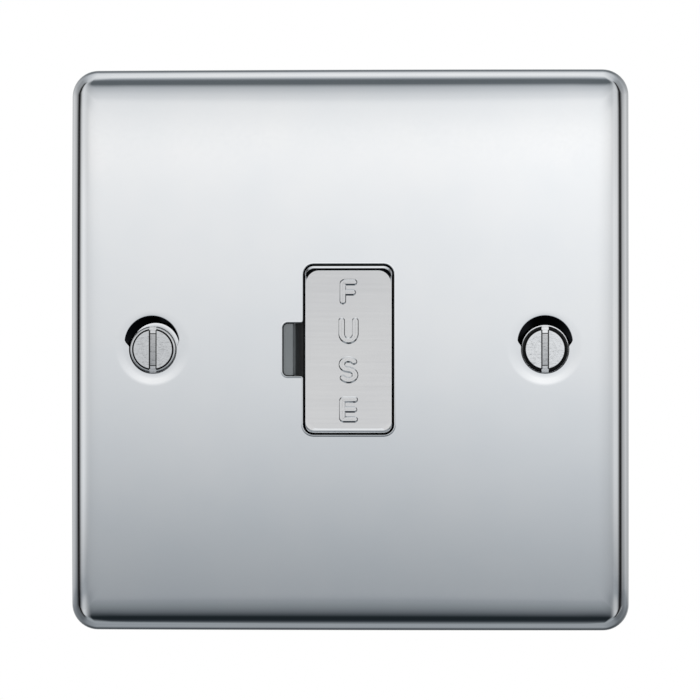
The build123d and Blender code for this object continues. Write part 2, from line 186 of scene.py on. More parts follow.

# %% [markdown]
# ## Shades
# Shadow gathers in narrow places. It could be left to the light alone, but a groove a tenth
# of a millimetre wide is too small for that. So shade is painted over a material's colour inside a
# mask, and a mask is worked out from the place in the piece: how far from a screw's middle, how far
# back, and so on. The same tool also lays in real marks, such as scratches.

# %% Masks and shades
def overlap(tree, *masks):
    """Where all the masks meet: their values multiplied."""
    whole = masks[0]
    for mask in masks[1:]:
        whole = add(tree, "Math", {0: whole, 1: mask}, operation="MULTIPLY")
    return whole


def band(tree, value, low, high, soft):
    """1 where the value lies between two limits in mm and 0 elsewhere, with soft ends."""
    rise = add(tree, "MapRange", {
        "Value": value, "From Min": (low - soft) * MM, "From Max": low * MM})
    drop = add(tree, "MapRange", {
        "Value": value, "From Min": high * MM, "From Max": (high + soft) * MM,
        "To Min": 1.0, "To Max": 0.0})
    return overlap(tree, rise, drop)


def shade(material, mask, keep):
    """Darkens a material's colour where the mask is 1, down to the share that is kept."""
    tree = material.node_tree
    shader = next(n for n in tree.nodes if n.type == "BSDF_PRINCIPLED")
    colour = shader.inputs["Base Color"]
    tone = colour.links[0].from_socket
    darker = add(tree, "Mix", {0: mask, 6: tone, 7: (keep, keep, keep, 1)},
                 data_type="RGBA", blend_type="MULTIPLY")
    tree.links.new(darker.outputs[2], colour)


def places(tree):
    """The x, y and z of the shaded point, in the piece's own frame."""
    spot = add(tree, "TexCoord").outputs["Object"]
    return list(add(tree, "SeparateXYZ", {"Vector": spot}).outputs)


# %% [markdown]
# A screw head has a turned groove inside its rim and a sawn slot. Their shade is painted: dark rings
# in the groove and at the rim's edge, dark lines along and across the slot, and a darker bed in it.
# The two heads share one material: the right one's painted ring is wider, and the left one is painted
# a little darker all over.

# %% Grooves and slots of the screw heads
FIXING_X, HEAD_TOP = 30.15, -5.24
# Each band is its lower limit, its upper limit and the width of its soft ends, in mm.
GROOVE, WIDE_GROOVE, RIM_EDGE = (2.98, 3.18, 0.05), (3.0, 3.46, 0.05), (3.5, 4.0, 0.06)
BESIDE_SLOT, SLOT_SIDE, SIDE_REACH = (0.56, 9.0, 0.02), (0.43, 0.58, 0.05), (0.0, 3.0, 0.05)
SLOT_MIDDLE, SLOT_END = (0.0, 0.5, 0.02), (2.4, 2.5, 0.04)
BED_MIDDLE, BED_REACH = (0.0, 0.45, 0.02), (0.0, 2.4, 0.02)

tree = turned.node_tree
x, _, z = places(tree)
either_side = add(tree, "Math", {0: x}, operation="ABSOLUTE")
across = add(tree, "Math", {0: either_side, 1: FIXING_X * MM}, operation="SUBTRACT")
offset = add(tree, "Math", {0: across}, operation="ABSOLUTE")
along_slot = add(tree, "Math", {0: z}, operation="ABSOLUTE")
from_middle = add(tree, "CombineXYZ", {"X": across, "Z": z})
away = add(tree, "VectorMath", {0: from_middle}, operation="LENGTH").outputs["Value"]
right = add(tree, "MapRange", {"Value": x, "From Max": 1 * MM})
left = add(tree, "Math", {0: 1.0, 1: right}, operation="SUBTRACT")

# Painted shade: dark rings in the groove and at the rim's edge, and a wider ring on the right head.
grooves = add(tree, "Math", {0: band(tree, away, *GROOVE), 1: band(tree, away, *RIM_EDGE)},
              operation="MAXIMUM")
right_groove = overlap(tree, right, band(tree, away, *WIDE_GROOVE))
grooves = add(tree, "Math", {0: grooves, 1: right_groove}, operation="MAXIMUM")
shade(turned, overlap(tree, grooves, band(tree, offset, *BESIDE_SLOT)), keep=0.02)

# Painted shade: dark lines along the slot's sides and across its ends.
slot_sides = overlap(tree, band(tree, offset, *SLOT_SIDE), band(tree, away, *SIDE_REACH))
slot_ends = overlap(tree, band(tree, offset, *SLOT_MIDDLE), band(tree, along_slot, *SLOT_END))
slot_lines = add(tree, "Math", {0: slot_ends, 1: slot_sides}, operation="MAXIMUM")
shade(turned, slot_lines, keep=0.05)
# Painted shade: the slot's bed is darker.
slot_bed = overlap(tree, band(tree, offset, *BED_MIDDLE), band(tree, away, *BED_REACH))
shade(turned, slot_bed, keep=0.7)
# Painted shade: the left head is a little darker all over.
shade(turned, left, keep=0.82)
print("nodes of the turned chrome:", len(tree.nodes))

# %% [markdown]
# The heads also carry marks: scratches where a driver slipped, all in one direction, and rings left by
# the lathe. A noise that is stretched gives the scratches. A noise that only knows the distance from
# the middle gives the rings.

# %% Scratches and lathe marks
SCRATCH_WIDTH, SCRATCH_TURN, LATHE_STEP = 0.12, 0.9, 0.22
spot = add(tree, "TexCoord").outputs["Object"]
drawn = add(tree, "Mapping", {"Vector": spot, "Rotation": (0, SCRATCH_TURN, 0), "Scale": (0.25, 1, 1)})
marks = add(tree, "TexNoise", {"Vector": drawn, "Scale": 1 / (SCRATCH_WIDTH * MM), "Detail": 2.0})
scratches = add(tree, "MapRange", {"Value": marks, "From Min": 0.56, "From Max": 0.72})
shade(turned, scratches, keep=0.62)
rounds = add(tree, "TexNoise", {"W": away, "Scale": 1 / (LATHE_STEP * MM), "Detail": 2.0},
             noise_dimensions="1D")
lathe_marks = add(tree, "MapRange", {"Value": rounds, "From Min": 0.5, "From Max": 0.75})
shade(turned, lathe_marks, keep=0.8)
print("nodes with the marks:", len(tree.nodes))

# %% [markdown]
# The moulding shows through the notch as a ledge. The light on its left part is painted as a grey
# colour, the hollow beside the cap is painted darker and the gap round the cap painted black, as shade.
# Behind the plate the moulding is black all over.

# %% The moulding's ledge and hollow
LEDGE, BESIDE_CAP, CAP_GAP = (-6.0, -2.6, 0.1), (-8.15, 7.5, 0.12), (-7.5, 7.5, 0.8)
tree = black.node_tree
x, y, _ = places(tree)
front = band(tree, y, *LEDGE)
further_in = add(tree, "Math", {0: 1.0, 1: front}, operation="SUBTRACT")
# Away from the ledge the grey goes back to the moulding's own black.
shade(black, further_in, keep=0.17)
# Painted shade: the hollow beside the cap is darker.
shade(black, overlap(tree, front, band(tree, x, *BESIDE_CAP)), keep=0.30)
# Painted shade: the gap round the cap is black.
shade(black, overlap(tree, front, band(tree, x, *CAP_GAP)), keep=0.02)
print("nodes of the black moulding:", len(tree.nodes))

# %% [markdown]
# ## Put the materials on the CAD pieces
# Every CAD piece has named slots. A piece that keeps its CAD shape gets the better material in its
# slot. A piece that is modelled again below brings its own materials.

# %% Materials in the slots
looks = {"polished_chrome": chrome, "black_moulding": black, "grey_moulding": grey,
         "zinc_steel": zinc, "brass": brass, "spring_bronze": bronze, "nickel": nickel,
         "fuse_ceramic": ceramic}
changed = 0
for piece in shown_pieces():
    for slot in piece.material_slots:
        for key, material in looks.items():
            if slot.material and key in slot.material.name and slot.material is not material:
                slot.material = material
                changed += 1
                break
print("slots changed:", changed)

# %% [markdown]
# ## Tools for smooth sheets
# Operators would be the usual way to press a plate out of a plane. Here they leave long, thin
# triangles round the holes and flats on the crown, and a mirror shows both. So the plate is drawn as
# rings. Each ring is a rounded outline, all rings of one set have the same number of points, and quads
# join one ring to the next. Between the rings, a triangulation fills the crowned face with even
# triangles whose depth comes from a formula.

# %% Rounded outlines
def outline(corners, radii, grow, steps, along):
    """A closed outline, counter-clockwise, with rounded corners, grown outwards by a distance."""
    corners = [Vector(c) for c in corners]
    arcs = []
    for i, p in enumerate(corners):
        come = (p - corners[i - 1]).normalized()
        go = (corners[(i + 1) % len(corners)] - p).normalized()
        turn = math.atan2(come.x * go.y - come.y * go.x, come.dot(go))
        side = 1 if turn > 0 else -1
        out_a, out_b = Vector((come.y, -come.x)), Vector((go.y, -go.x))
        radius = max(radii[i] + side * grow, 0.0)
        tip = p + (out_a + out_b) * (grow / (1 + out_a.dot(out_b)))
        begin_arc = tip - come * (radius * math.tan(abs(turn) / 2))
        centre = begin_arc - out_a * (radius * side)
        arm = begin_arc - centre
        arc_points = []
        for k in range(steps + 1):
            c, s = math.cos(turn * k / steps), math.sin(turn * k / steps)
            arc_points.append(centre + Vector((arm.x * c - arm.y * s, arm.x * s + arm.y * c)))
        arcs.append(arc_points)
    points = []
    for i, arc_points in enumerate(arcs):
        points += arc_points
        after = arcs[(i + 1) % len(arcs)][0]
        points += [arc_points[-1].lerp(after, k / along) for k in range(1, along)]
    return np.array([(p.x, p.y) for p in points])


def inside(points, ring):
    """Which points lie within a closed ring."""
    x, z = points[:, 0][:, None], points[:, 1][:, None]
    x0, z0 = ring[:, 0], ring[:, 1]
    x1, z1 = np.roll(x0, -1), np.roll(z0, -1)
    rise = np.where(z1 == z0, 1e-12, z1 - z0)
    hit = ((z0 > z) != (z1 > z)) & (x < (x1 - x0) * (z - z0) / rise + x0)
    return hit.sum(axis=1) % 2 == 1


def lift(ring, depth):
    """Points of a flat ring with their depth."""
    return [(x, depth(x, z), z) for x, z in ring]


# %% [markdown]
# A sheet collects rings and filled fields in millimetres, and then turns into one mesh: doubles
# merged, faces outwards, shaded smooth. The last step tells the frame which body the piece rides on
# and which CAD piece it stands for.

# %% A sheet of rings and fields
KEEP_OFF, SAME_POINT = 0.6, 0.002


def settle(item, body, replaces=None):
    """Tells the frame what a finished piece is and where it belongs."""
    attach(item, body)
    if replaces:
        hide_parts(replaces)
    print(item.name, "faces:", len(item.data.polygons))


class Sheet:
    """Collects points in mm and faces, then makes one smooth mesh of them."""

    def __init__(self):
        self.points, self.faces, self.looks = [], [], []

    def rings(self, rings, look=0):
        """Quads from each ring of (x, y, z) points to the next."""
        first, n = len(self.points), len(rings[0])
        self.looks += [look] * (n * (len(rings) - 1))
        for ring in rings:
            self.points += [tuple(p) for p in ring]
        for r in range(len(rings) - 1):
            a, b = first + r * n, first + (r + 1) * n
            self.faces += [(a + k, a + (k + 1) % n, b + (k + 1) % n, b + k) for k in range(n)]

    def field(self, outer, holes, depth, step):
        """Triangles between an outer ring and holes, with depths from a formula."""
        loops = [outer] + holes
        low, high = outer.min(axis=0), outer.max(axis=0)
        grid = np.array([(a, b) for a in np.arange(low[0], high[0], step)
                         for b in np.arange(low[1], high[1], step)])
        edge = np.concatenate(loops)
        gap = np.hypot(grid[:, None, 0] - edge[:, 0], grid[:, None, 1] - edge[:, 1]).min(axis=1)
        grid = grid[self.between(grid, outer, holes) & (gap > KEEP_OFF * step)]
        lines, start = [], 0
        for loop in loops:
            n = len(loop)
            lines += [(start + k, start + (k + 1) % n) for k in range(n)]
            start += n
        flat = [Vector(p) for p in np.concatenate([edge, grid])]
        made, _, triangles, *_ = delaunay_2d_cdt(flat, lines, [], 0, 1e-7)
        spots = np.array([(p.x, p.y) for p in made])
        middles = np.array([spots[list(t)].mean(axis=0) for t in triangles])
        good = self.between(middles, outer, holes)
        base = len(self.points)
        self.points += lift(spots, depth)
        kept = [tuple(base + i for i in t) for t, ok in zip(triangles, good) if ok]
        self.faces += kept
        self.looks += [0] * len(kept)

    def between(self, points, outer, holes):
        """Which points lie within the outer ring and in none of the holes."""
        keep = inside(points, outer)
        for hole in holes:
            keep &= ~inside(points, hole)
        return keep

    def piece(self, name, materials, slot, body, replaces=None):
        """The finished object: doubles merged, faces outward, shaded smooth."""
        mesh = bpy.data.meshes.new(name)
        mesh.from_pydata([Vector(p) * MM for p in self.points], [], self.faces)
        mesh.polygons.foreach_set("material_index", self.looks)
        shape = bmesh.new()
        shape.from_mesh(mesh)
        bmesh.ops.remove_doubles(shape, verts=shape.verts, dist=SAME_POINT * MM)
        bmesh.ops.recalc_face_normals(shape, faces=shape.faces)
        shape.to_mesh(mesh)
        shape.free()
        item = bpy.data.objects.new(name, mesh)
        bpy.context.scene.collection.objects.link(item)
        for material in materials:
            mesh.materials.append(material)
        mesh.shade_smooth()
        settle(item, body, replaces)


# %% [markdown]
# ## The pressed plate
# One sheet of metal, 1 mm thick, is pressed into a shallow crown, and its rim rolls back to the wall.
# The crown is what turns the soft room into a slow gradient on the face, so its radius is worked out
# from the change in slope that the gradient needs. Near the edges the face bends back a little before
# the roll begins, which draws the darker border.

# %% The crown and the bend near the edges
WIDTH, HEIGHT, SHEET = 86.0, 86.5, 1.0
CROWN_RADIUS, FACE = 880.0, -5.5
ROLL, TAIL, BREAK = 3.0, 6.0, math.radians(23.6)
END_TIGHTEN = 0.15


def crown(x, z):
    """Depth of the face at a place on it; minus is towards the viewer."""
    return FACE + (x * x + z * z) / (2 * CROWN_RADIUS)


roll_start = ROLL - ROLL * math.sin(BREAK)
tail_inset = np.linspace(TAIL, roll_start, 200)
lean = BREAK * ((TAIL - tail_inset) / (TAIL - roll_start)) ** 3
tail_fall = np.cumsum(-np.diff(tail_inset) * np.tan((lean[1:] + lean[:-1]) / 2))
tail_fall = np.concatenate([[0], tail_fall])


def tail(u, along):
    """How far the face has bent back at a distance u from an edge; shorter near the edge's ends."""
    shorter = 1 + END_TIGHTEN * along * along
    reached = roll_start + (u - roll_start) * shorter
    return float(np.interp(reached, tail_inset[::-1], tail_fall[::-1])) / shorter


def face(x, z):
    """The crown, bent back towards all four edges."""
    a, b = abs(x) / (WIDTH / 2), abs(z) / (HEIGHT / 2)
    return crown(x, z) + tail(WIDTH / 2 * (1 - a), b) + tail(HEIGHT / 2 * (1 - b), a)


print("the bend drops the face by", round(float(tail_fall[-1]), 2), "mm before the roll")

# %% [markdown]
# The rim is a quarter of a roll. Rings go over it from the face to the wall, round the cut edge and
# back up inside the sheet. The corners tighten where the roll meets the face, as a pressing does.

# %% The rim
CORNER_INSET, CORNER_RADIUS = (0, 1.0, 2.2), (4.0, 3.0, 0.9)
CORNER_STEPS, SIDE_STEPS = 12, 30
CUT_EASE, CUT_INSIDE, INNER_START = 0.15, 0.05, 0.5


def plate_ring(u):
    """Outline of the plate, drawn in by u."""
    a, b = WIDTH / 2 - u, HEIGHT / 2 - u
    radius = float(np.interp(u, CORNER_INSET, CORNER_RADIUS))
    return outline([(-a, -b), (a, -b), (a, b), (-a, b)], [radius] * 4, 0.0, CORNER_STEPS, SIDE_STEPS)


roll_foot = [face(x, z) - crown(x, z) for x, z in plate_ring(roll_start)]


def roll(radius, angle, base):
    """A ring of the rolled rim at an angle of slope, held at the depth base."""
    flat = plate_ring(ROLL - radius * math.sin(angle))
    drop = ROLL * math.cos(BREAK) - radius * math.cos(angle)
    return [(x, min(crown(x, z) + f + drop, base), z) for (x, z), f in zip(flat, roll_foot)]


def on_wall(x, z):
    """The wall plane."""
    return 0.0


plate = Sheet()
rim = [lift(plate_ring(u), face) for u in np.linspace(TAIL, roll_start, 18)]
rim += [roll(ROLL, a, -CUT_EASE) for a in np.linspace(BREAK, math.pi / 2, 20)[1:]]
rim.append(lift(plate_ring(0.0), lambda x, z: -CUT_EASE))
rim += [lift(plate_ring(u), on_wall) for u in (CUT_EASE, SHEET)]
rim += [roll(ROLL - SHEET, a, -CUT_INSIDE) for a in np.linspace(math.pi / 2, BREAK, 8)]
rim += [lift(plate_ring(u), lambda x, z: face(x, z) + SHEET)
        for u in np.linspace(roll_start + INNER_START, TAIL, 6)]
plate.rings(rim)
print("rim rings:", len(rim), "with", len(rim[0]), "points each")

# %% [markdown]
# The opening has a notch in its left side, so its outline has eight corners. The press leaves a small
# rolled edge round it, which stands a little proud of the face and more so towards the bottom.

# %% The opening
OPEN_W, OPEN_H, NOTCH_X, NOTCH_H = 14.0, 26.2, -10.15, 4.1
SIDE_X, END_Z = OPEN_W / 2, OPEN_H / 2
EDGE, LIP_FOOT, LIP_LEAST, LIP_MORE, FIELD_GAP = 0.12, 0.25, 0.006, 0.045, 0.35
opening = [(-SIDE_X, -END_Z), (SIDE_X, -END_Z), (SIDE_X, END_Z), (-SIDE_X, END_Z),
           (-SIDE_X, NOTCH_H), (NOTCH_X, NOTCH_H), (NOTCH_X, -NOTCH_H), (-SIDE_X, -NOTCH_H)]
opening_radii = [1.6, 1.6, 1.6, 1.6, 0.35, 0.8, 0.8, 0.35]


def lip_height(z):
    """How far the rolled edge stands above the face."""
    return LIP_LEAST + LIP_MORE * ((END_Z - z) / OPEN_H) ** 2


def opening_ring(grow):
    """The opening's outline, grown by a distance."""
    return outline(opening, opening_radii, grow, steps=6, along=8)


lip = []
for grow, rise in ((LIP_FOOT + FIELD_GAP, 0.0), (LIP_FOOT + 0.08, 0.0), (LIP_FOOT + 0.04, 0.0),
                   (LIP_FOOT, 0.1), (EDGE + 0.04, 0.95)):
    lip.append(lift(opening_ring(grow), lambda x, z, d=rise: crown(x, z) - lip_height(z) * d))
for a in np.linspace(0, math.pi / 2, 9):
    grow, drop = EDGE * (1 - math.sin(a)), EDGE * (1 - math.cos(a))
    lip.append(lift(opening_ring(grow), lambda x, z, d=drop: crown(x, z) - lip_height(z) + d))
lip.append(lift(opening_ring(0.0), lambda x, z: crown(x, z) + SHEET))
plate.rings(lip)
print("opening rings:", len(lip), "with", len(lip[0]), "points each")

# %% [markdown]
# Each fixing screw sits in a dish. The face draws in softly round it, most of all below, where it
# catches the bright wall. Above the screw the dish is longer, to let the plate be levelled, and a steep
# wall drops there to the seat. The two dishes differ slightly, as in the photograph.

# %% The shape of a dish
DISH_DEPTH, DISH_R, DISH_RISE = 0.70, 5.95, 0.3
LEAN_BELOW, LEAN_ABOVE, DRAW_STEPS = 3.8, 2.4, 18
BULGE, BULGE_SKEW, BELOW_FOCUS, EASE_START, EASE_RUN = 1.25, 0.75, 1.3, 0.10, 0.22
seat_depth = crown(FIXING_X, 0) + DISH_DEPTH
angles = np.linspace(0, 2 * math.pi, 121)[:-1]
above = np.clip(np.sin(angles), 0, 1)
below = (0.5 - 0.5 * np.sin(angles)) ** BELOW_FOCUS
ease = np.clip((np.sin(angles) - EASE_START) / EASE_RUN, 0, 1)
ease = ease * ease * (3 - 2 * ease)


def circle(radius, rise, aside=0.0):
    """How far a circle, raised and set aside, lies from the screw's line, all the way round."""
    middle = aside * np.cos(angles) + rise * np.sin(angles)
    return middle + np.sqrt(radius ** 2 - (aside * np.sin(angles) - rise * np.cos(angles)) ** 2)


def dish_ring(x, reach):
    """A flat ring round a screw, from one distance or one for each direction."""
    reach = np.broadcast_to(reach, angles.shape)
    return np.column_stack([x + reach * np.cos(angles), reach * np.sin(angles)])


def draw_in(x, mouth):
    """Rings of the soft draw-in, from the face to the dish's mouth."""
    rings, drop = [], np.zeros(len(angles))
    for k in range(DRAW_STEPS + 1):
        t = k / DRAW_STEPS
        if k:
            m = t - 0.5 / DRAW_STEPS
            bulge = min(1, BULGE * math.sin(math.pi * m ** BULGE_SKEW) ** 2)
            lean = LEAN_BELOW * bulge * below + LEAN_ABOVE * m * m * above
            drop = drop + (dish_edge - mouth) / DRAW_STEPS * np.tan(np.radians(lean))
        flat = dish_ring(x, dish_edge + (mouth - dish_edge) * t)
        rings.append([(a, crown(a, b) + d, b) for (a, b), d in zip(flat, drop)])
    return rings


dish_edge = circle(DISH_R, DISH_RISE)
print("seat depth in mm:", round(seat_depth, 2))

# %% [markdown]
# The dishes join the sheet as three sets of rings: the draw-in, the steep wall, and the seat with the
# screw's hole and the underside. The wall above the screw takes the second material, a dark chrome
# that is painted shade. Last, fields fill the front and the back of the plate, and the plate is one piece.

# %% The dishes and the whole plate
MOUTH_R, MOUTH_RISE, MOUTH_GAP, BED_R, WALL_ABOVE = 4.25, 0.97, 0.06, 3.6, 0.4
SEAT_R, SEAT_EASE, SEAT_START, SEAT_CROWN = 3.62, 0.03, 0.002, 0.07
HOLE_R, HOLE_EASE, UNDER_R, CUP_R = 2.1, 0.1, 4.6, 5.4
FRONT_GRID, BACK_GRID = 1.6, 2.6


def under_face(x, z):
    """The back of the sheet."""
    return crown(x, z) + SHEET


for x, mouth_circle, bed_circle in (
        (-FIXING_X, circle(MOUTH_R, MOUTH_RISE, -0.15), circle(BED_R, 0.5, 0.4)),
        (FIXING_X, circle(MOUTH_R, MOUTH_RISE), circle(BED_R, 0.14))):
    mouth = SEAT_R + MOUTH_GAP + (mouth_circle - SEAT_R - MOUTH_GAP) * ease
    bed = SEAT_R + np.maximum(bed_circle - SEAT_R, 0) * ease
    draw = draw_in(x, mouth)
    plate.rings(draw)
    wall = [draw[-1]]
    for t, down in ((0.02, 0.01), (0.98, 0.99), (1.0, 1.0)):
        flat = dish_ring(x, mouth + (bed - mouth) * t)
        wall.append([(a, m[1] + (seat_depth - m[1]) * down, b) for (a, b), m in zip(flat, draw[-1])])
    first = len(plate.faces)
    plate.rings(wall)
    # Painted shade: the faces of the wall above the screw take the dark chrome.
    for k in range(first, len(plate.faces)):
        if min(plate.points[i][2] for i in plate.faces[k]) > WALL_ABOVE:
            plate.looks[k] = 1
    seat = [wall[-1], lift(dish_ring(x, bed - SEAT_EASE), lambda x, z: seat_depth - SEAT_START)]
    for reach, down in ((HOLE_R + HOLE_EASE, -SEAT_CROWN), (HOLE_R, 0.0), (HOLE_R, SHEET),
                        (UNDER_R, SHEET)):
        seat.append(lift(dish_ring(x, reach), lambda x, z, d=down: seat_depth + d))
    seat.append(lift(dish_ring(x, CUP_R), under_face))
    plate.rings(seat)

dishes = [dish_ring(x, dish_edge) for x in (-FIXING_X, FIXING_X)]
cups = [dish_ring(x, CUP_R) for x in (-FIXING_X, FIXING_X)]
plate.field(plate_ring(TAIL), [opening_ring(LIP_FOOT + FIELD_GAP)] + dishes, crown, FRONT_GRID)
plate.field(plate_ring(TAIL), [opening_ring(0.0)] + cups, under_face, BACK_GRID)
plate.piece("plate_pressing", [chrome, shade_chrome], "polished_chrome", "unit", "front_plate")

# %% [markdown]
# ## Tools for shaping by hand
# The cap and the screws are modelled as a hand would do it. A primitive is added with nothing else
# selected, its place goes into its mesh, and edit mode opens. Points are then picked by where they
# are, and a pull is one extrude followed by one scale about the piece's own line.

# %% Begin, pick, pull and close
def begin(name, primitive, **settings):
    """Adds a primitive on its own and opens it in edit mode, with its place in its mesh."""
    bpy.ops.object.select_all(action="DESELECT")
    primitive(**settings)
    item = bpy.context.object
    item.name = item.data.name = name
    bpy.ops.object.transform_apply(location=True, rotation=True, scale=True)
    bpy.ops.object.mode_set(mode="EDIT")
    bpy.ops.mesh.select_mode(type="VERT")
    return item


def pick(item, test):
    """Selects only the points whose place in mm passes a test."""
    bpy.ops.mesh.select_all(action="DESELECT")
    shape = bmesh.from_edit_mesh(item.data)
    for point in shape.verts:
        point.select = test(point.co / MM)
    shape.select_flush(True)
    bmesh.update_edit_mesh(item.data)


def pull(out, wide, tall, x=0.0):
    """Extrudes what is selected along y, then scales it about a line through x."""
    bpy.ops.mesh.extrude_region_move(TRANSFORM_OT_translate={"value": (0, out * MM, 0)})
    bpy.ops.transform.resize(value=(wide, 1, tall), center_override=(x * MM, 0, 0))


def close(item, materials):
    """Merges doubles, turns the faces outwards and leaves edit mode."""
    bpy.ops.mesh.select_all(action="SELECT")
    bpy.ops.mesh.remove_doubles(threshold=0.001 * MM)
    bpy.ops.mesh.normals_make_consistent(inside=False)
    bpy.ops.object.mode_set(mode="OBJECT")
    item.data.materials.clear()
    for material in materials:
        item.data.materials.append(material)


# %% [markdown]
# ## The carrier's cap
# The cap fills the opening with a thin, even gap. Its face is satin and very slightly hollow, inside a
# chamfered edge with a bead along the top. It could be a bevelled box, but the face has wider corners
# than the edge. So two planes get their corners bevelled round, the shell is pulled out of one of them
# in steps, and a bridge joins it to the other. The bead and the hollow are too slight to pull by hand,
# so they are laid in by a formula.

# %% Two rounded planes
CAP_W, CAP_H, CAP_FACE, CAP_BACK = 13.5, 25.6, -5.55, -3.7
CORNER_CUTS, SIDE_CUTS, SIDE_LEAST = 10, 11, 4
HOLLOW, BEAD_START, BEAD_RUN, BEAD_TOP, BEAD_LOW = 0.08, 10.9, 1.3, 0.17, 0.014


def rounded(name, wide, tall, radius, depth):
    """A flat face with round corners and a few points along its sides."""
    item = begin(name, bpy.ops.mesh.primitive_plane_add, size=wide * MM,
                 location=(0, depth * MM, 0), rotation=(math.pi / 2, 0, 0))
    bpy.ops.mesh.select_all(action="SELECT")
    bpy.ops.transform.resize(value=(1, 1, tall / wide), center_override=(0, 0, 0))
    bpy.ops.mesh.bevel(offset=radius * MM, offset_type="OFFSET", segments=CORNER_CUTS,
                       affect="VERTICES")
    bpy.ops.mesh.delete(type="ONLY_FACE")
    bpy.ops.mesh.select_mode(type="EDGE")
    bpy.ops.mesh.select_all(action="DESELECT")
    shape = bmesh.from_edit_mesh(item.data)
    for edge in shape.edges:
        edge.select_set(edge.calc_length() > SIDE_LEAST * MM)
    bmesh.update_edit_mesh(item.data)
    bpy.ops.mesh.subdivide(number_cuts=SIDE_CUTS)
    bpy.ops.mesh.select_mode(type="VERT")
    bpy.ops.mesh.select_all(action="SELECT")
    bpy.ops.mesh.edge_face_add()
    return item


def hollow(z):
    """How far the cap's front sinks towards its middle."""
    return HOLLOW * (1 - (2 * z / CAP_H) ** 2)


def bead(z):
    """How far the bead stands above the face: most at the top, nothing along the sides."""
    top = min(max((z - BEAD_START) / BEAD_RUN, 0), 1)
    low = min(max((-z - BEAD_START) / BEAD_RUN, 0), 1)
    return BEAD_TOP * top * top * (3 - 2 * top) + BEAD_LOW * low * low * (3 - 2 * low)


print("the bead stands", round(bead(CAP_H / 2), 2), "mm above the face")

# %% [markdown]
# The shell goes back from the face to where it meets the carrier. Its steps give the straight wall,
# the chamfer and the narrow top of the edge.

# %% The shell and the bead
CAP_CORNER, FRONT_ZONE = 1.4, 0.4
shell = rounded("cap_shell", CAP_W, CAP_H, CAP_CORNER, CAP_BACK)
wide, tall, depth = CAP_W, CAP_H, CAP_BACK
for side, end, down in ((0.0, 0.0, 0.50), (0.0, 0.0, 0.325), (0.01, 0.02, 0.305),
                        (0.12, 0.31, 0.025), (0.14, 0.335, 0.0), (0.15, 0.35, 0.0)):
    new_wide, new_tall, new_depth = CAP_W - 2 * side, CAP_H - 2 * end, CAP_FACE + down
    pull(new_depth - depth, new_wide / wide, new_tall / tall)
    wide, tall, depth = new_wide, new_tall, new_depth
bpy.ops.mesh.delete(type="ONLY_FACE")
bpy.ops.object.mode_set(mode="OBJECT")
for point in shell.data.vertices:
    if point.co.y < (CAP_FACE + FRONT_ZONE) * MM:
        point.co.y -= bead(point.co.z / MM) * MM
print("shell points:", len(shell.data.vertices))

# %% [markdown]
# The face is inset three times, so that its flat middle starts close to its rim and the smooth shading
# stays flat. After the bridge, cuts across the cap give the hollow enough points to bend.

# %% The face and the bridge
FACE_SIDE, FACE_END, FACE_CORNER = 0.26, 0.66, 1.95
CUT_REACH, CUT_STEP = 11.25, 1.25
inner = rounded("cap_face", CAP_W - 2 * FACE_SIDE, CAP_H - 2 * FACE_END, FACE_CORNER, CAP_FACE)
for step in (0.03, 0.06, 1.0):
    bpy.ops.mesh.inset(thickness=step * MM)
bpy.ops.object.mode_set(mode="OBJECT")
bpy.ops.object.select_all(action="DESELECT")
inner.select_set(True)
shell.select_set(True)
bpy.context.view_layer.objects.active = shell
bpy.ops.object.join()
bpy.ops.object.mode_set(mode="EDIT")
bpy.ops.mesh.select_mode(type="EDGE")
bpy.ops.mesh.select_all(action="DESELECT")
bpy.ops.mesh.select_non_manifold()
bpy.ops.mesh.bridge_edge_loops()
for z in np.arange(-CUT_REACH, CUT_REACH + 0.05, CUT_STEP):
    bpy.ops.mesh.select_all(action="SELECT")
    bpy.ops.mesh.bisect(plane_co=(0, 0, z * MM), plane_no=(0, 0, 1))
close(shell, [chrome, satin, shade_chrome])
print("cap points:", len(shell.data.vertices))

# %% [markdown]
# Three materials meet on the cap: polished on the edge, satin on the face, and painted shade, a dark
# chrome, on the slope under the bead. The faces are sorted by their place and by the way they face.

# %% The hollow and the finishes of the cap
SATIN, PAINTED_SHADE = 1, 2
SATIN_SIDE, SATIN_END, SATIN_DEEP, UNDER_BEAD, FACES_DOWN = 0.2, 0.6, 0.2, 10.6, -0.1
for point in shell.data.vertices:
    if point.co.y < (CAP_FACE + FRONT_ZONE) * MM:
        point.co.y += hollow(point.co.z / MM) * MM
for side in shell.data.polygons:
    x, y, z = side.center / MM
    if abs(x) < CAP_W / 2 - SATIN_SIDE and y < CAP_FACE + SATIN_DEEP:
        if abs(z) < CAP_H / 2 - SATIN_END:
            side.material_index = SATIN
        # Painted shade: faces under the bead that face down take the dark chrome.
        if z > UNDER_BEAD and side.normal.z < FACES_DOWN:
            side.material_index = PAINTED_SHADE
shell.data.shade_smooth()
settle(shell, "fuse_carrier", "carrier_cap")

# %% [markdown]
# ## The raised word
# FUSE only says what is behind the cap. A text object would need a font with round ends, and its bevel
# would be the same all round. So each letter is drawn as strokes. A stroke is a set of rings round its
# middle line, wide at the face and narrower on top. Its upper slope mirrors the soft box overhead, and
# its underside is gentler and mirrors the dark floor, which is what makes the letters stand out.

# %% Strokes
STROKE, RAISED, SLOPE, BROW, DRAFT = 0.50, 0.18, 0.11, 0.09, 0.15


def bend(points, radius):
    """A line with its inner corners rounded."""
    points = [Vector(p) for p in points]
    path = [points[0]]
    for before, corner, after in zip(points, points[1:], points[2:]):
        come = corner + (before - corner).normalized() * radius
        go = corner + (after - corner).normalized() * radius
        for t in (0, 0.25, 0.5, 0.75, 1):
            path.append(come * (1 - t) ** 2 + corner * 2 * t * (1 - t) + go * t * t)
    path.append(points[-1])
    return path


def arc(x, z, width, height, start, end):
    """Points along part of an ellipse."""
    return [Vector((x + width * math.cos(a), z + height * math.sin(a)))
            for a in np.linspace(start, end, 15)]


